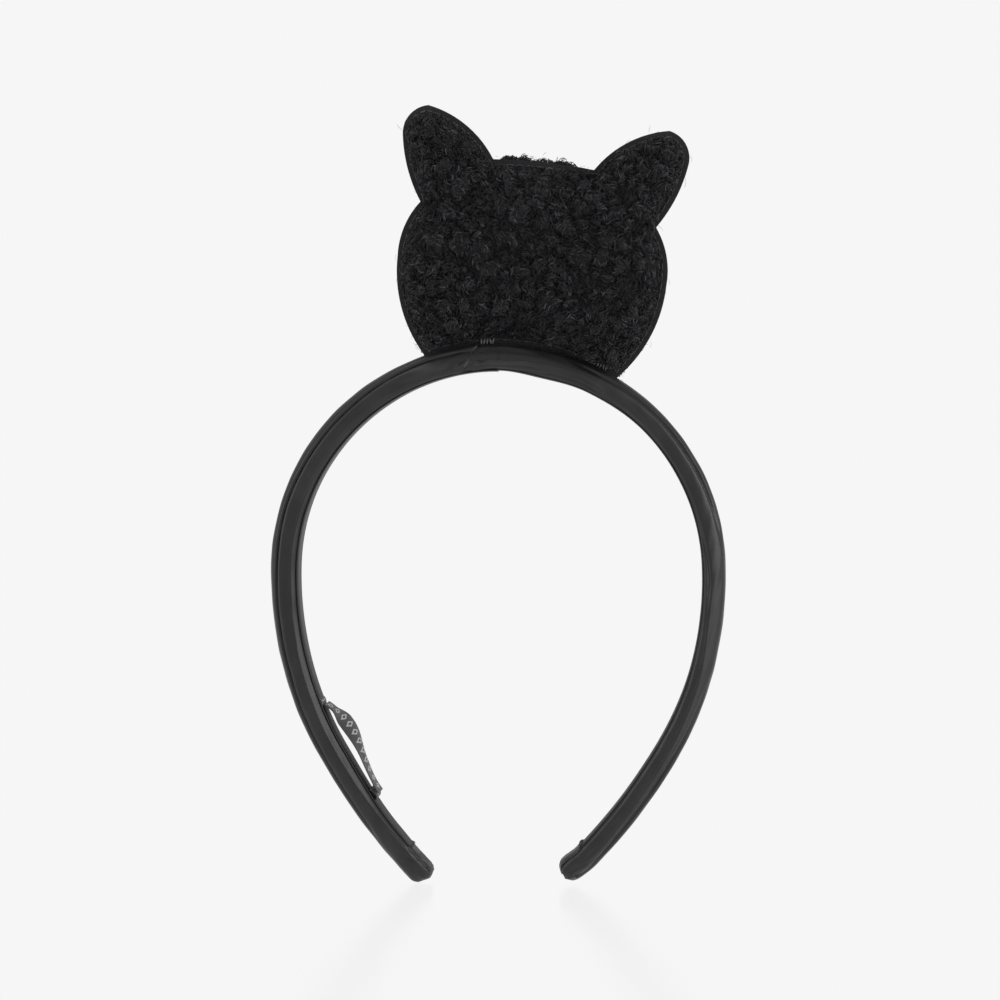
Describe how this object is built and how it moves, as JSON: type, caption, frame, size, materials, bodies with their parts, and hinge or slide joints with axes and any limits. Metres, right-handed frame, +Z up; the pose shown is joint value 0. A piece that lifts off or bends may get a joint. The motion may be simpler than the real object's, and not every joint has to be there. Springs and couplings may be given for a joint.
{
  "type": "animal ears headband",
  "caption": "Padded satin alice band that carries a flat stuffed cat head with two ears in looped boucle pile, sewn on a little off centre, with a ribbon label inside one arm.",
  "frame": {"origin": "on the lining at the top of the crown, where the top of a wearer's head meets the band", "axes": "+Z up, from the tips to the ears; the front of the cat head faces -Y; +X to the right seen from the front"},
  "size_m": [0.1294, 0.0164, 0.2229],
  "materials": {
    "satin": "black polyester satin, soft sheen",
    "lining": "black grosgrain ribbon",
    "foam": "charcoal open-cell foam",
    "core_strip": "extruded black polypropylene strip",
    "felt": "stiff black felt board",
    "boucle": "black looped boucle pile",
    "wadding": "white polyester wadding",
    "thread": "black polyester sewing thread",
    "grey_thread": "grey polyester sewing thread",
    "ribbon": "woven taffeta label ribbon"
  },
  "bodies": {
    "crown": {"cover_crown": "satin", "foam_crown": "foam", "core_crown": "core_strip", "lining_crown": "lining"},
    "arm_left": {"cover_arm_left": "satin", "foam_arm_left": "foam", "core_arm_left": "core_strip", "lining_arm_left": "lining", "tip_fold_left": "satin", "tip_stitches_left": "thread", "label_fold_upper": "ribbon", "label_fold_lower": "ribbon"},
    "arm_right": {"cover_arm_right": "satin", "foam_arm_right": "foam", "core_arm_right": "core_strip", "lining_arm_right": "lining", "tip_fold_right": "satin", "tip_stitches_right": "thread"},
    "cat_head": {"felt_board": "felt", "boucle_panel_front": "boucle", "boucle_panel_back": "boucle", "wadding_front": "wadding", "wadding_back": "wadding", "topstitch_front": "thread", "topstitch_back": "thread", "head_bartacks": "grey_thread"},
    "label": {"label_ribbon": "ribbon"}
  },
  "joints": [
    {"name": "band_spread_right", "type": "hinge", "parent": "crown", "child": "arm_right", "pos_m": [0.04159, 0, -0.00814], "axis": [0, -1, 0], "range_deg": [0, 16], "stiffness_Nm_per_rad": 0.7},
    {"name": "band_spread_left", "type": "hinge", "parent": "crown", "child": "arm_left", "pos_m": [-0.04159, 0, -0.00814], "axis": [0, 1, 0], "range_deg": [0, 16], "stiffness_Nm_per_rad": 0.7},
    {"name": "head_tilt", "type": "hinge", "parent": "crown", "child": "cat_head", "pos_m": [0.00721, 0, 0.0066], "axis": [0.9938, 0, -0.1115], "range_deg": [-20, 20], "stiffness_Nm_per_rad": 0.05},
    {"name": "label_swing", "type": "hinge", "parent": "arm_left", "child": "label", "pos_m": [-0.04167, 0, -0.10724], "axis": [0.4991, 0, -0.8665], "range_deg": [-15, 15], "stiffness_Nm_per_rad": 0.0002}
  ]
}
